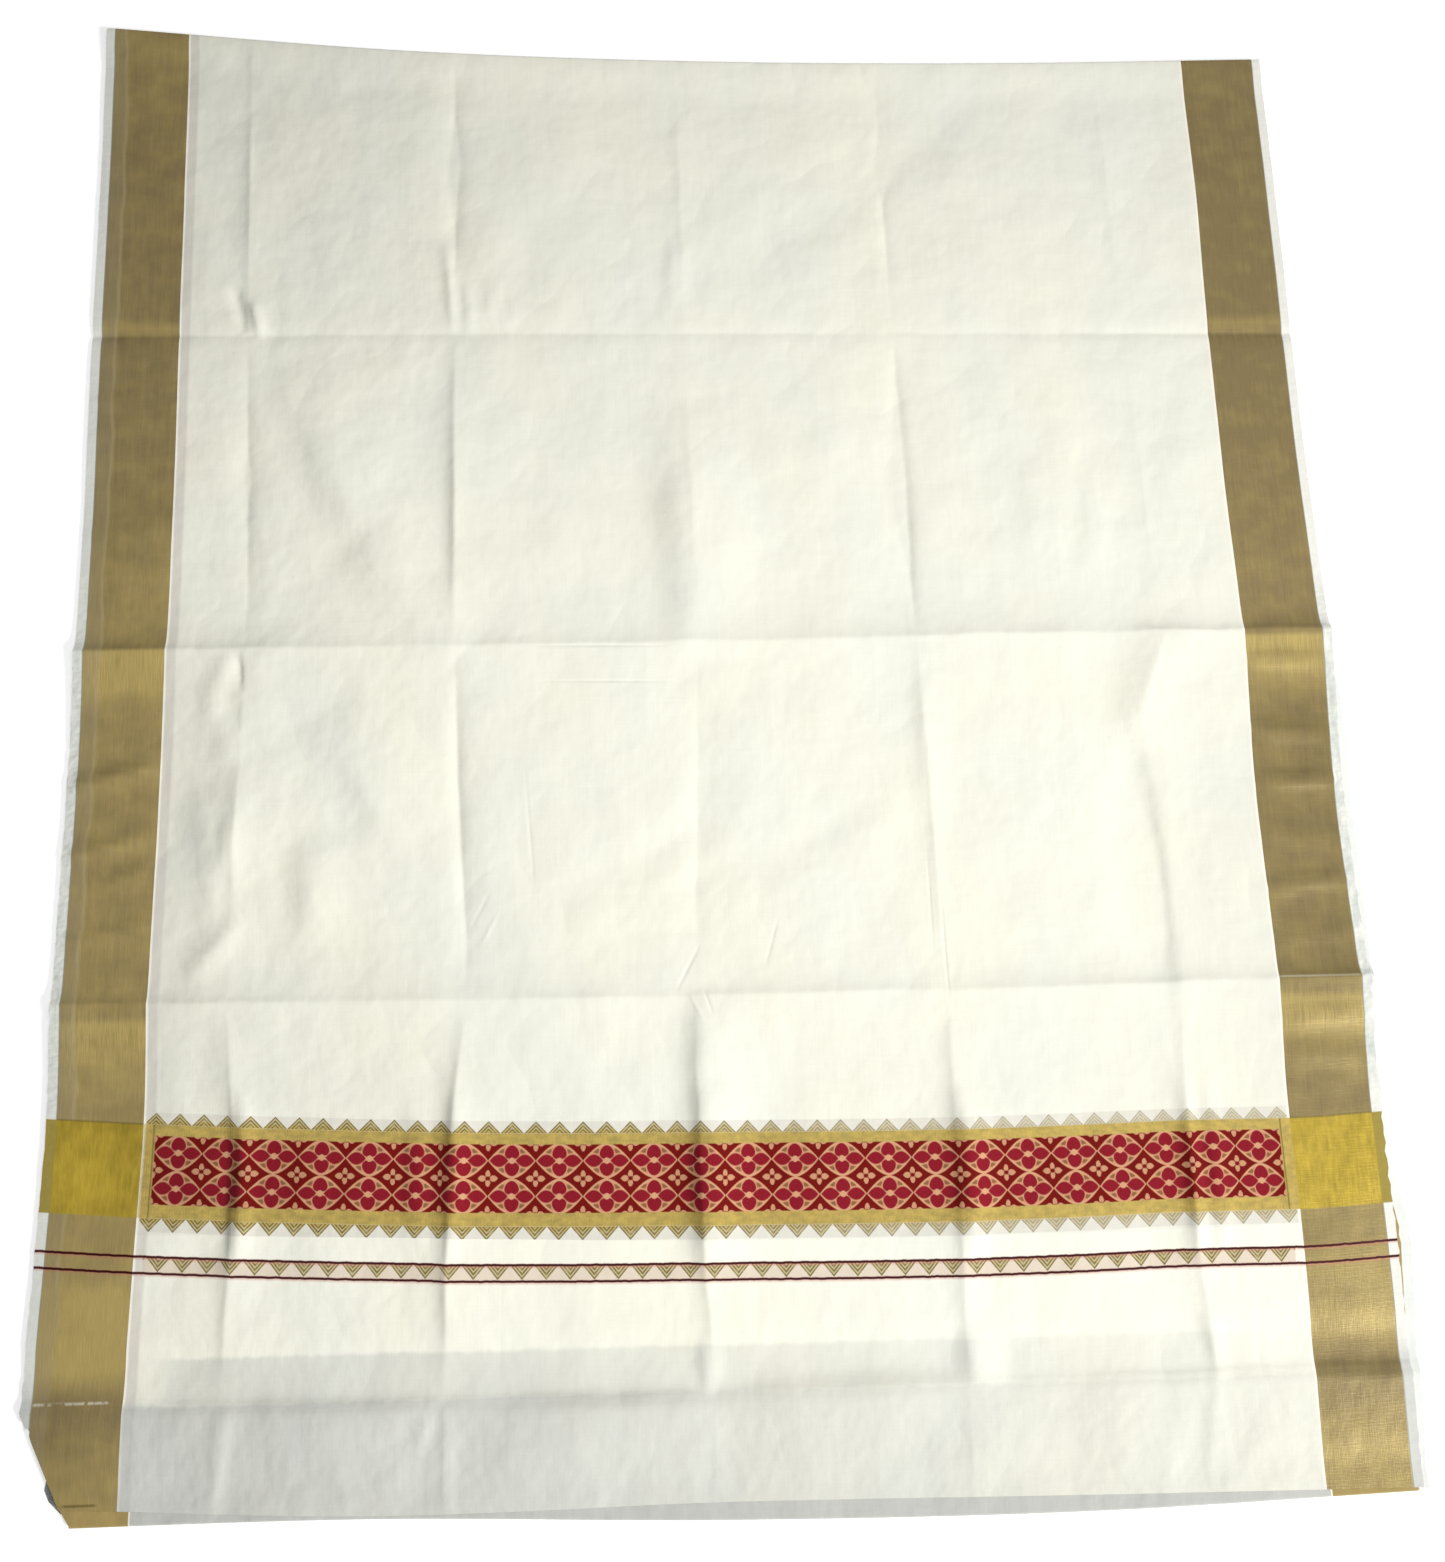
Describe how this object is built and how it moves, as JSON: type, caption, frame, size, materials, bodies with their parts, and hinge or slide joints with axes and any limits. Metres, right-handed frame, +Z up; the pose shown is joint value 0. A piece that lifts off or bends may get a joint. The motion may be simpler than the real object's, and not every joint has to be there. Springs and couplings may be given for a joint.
{
  "type": "cotton saree",
  "caption": "Off-white cotton saree with wide gold borders and a figured crimson pallu band, folded lengthwise and laid flat with its decorated end on top.",
  "frame": {"origin": "on the surface it rests on, under the middle of the laid saree", "axes": "+Z up, +Y from the decorated end towards the far fold, +X across the cloth"},
  "size_m": [1.1656, 1.3836, 0.0146],
  "materials": {
    "cotton": "plain-woven unbleached cotton, matt, slightly sheer",
    "selvedge": "closely woven white cotton",
    "zari": "woven gold thread with a soft metallic sheen",
    "brocade": "crimson and gold figured weave"
  },
  "bodies": {
    "root": {"body_field": "cotton", "pallu_band": "brocade", "pallu_end": "cotton", "zari_border_left": "zari", "zari_border_right": "zari", "selvedge_left": "selvedge", "selvedge_right": "selvedge", "under_stretch": "cotton", "hidden_layers": "cotton"}
  },
  "joints": []
}
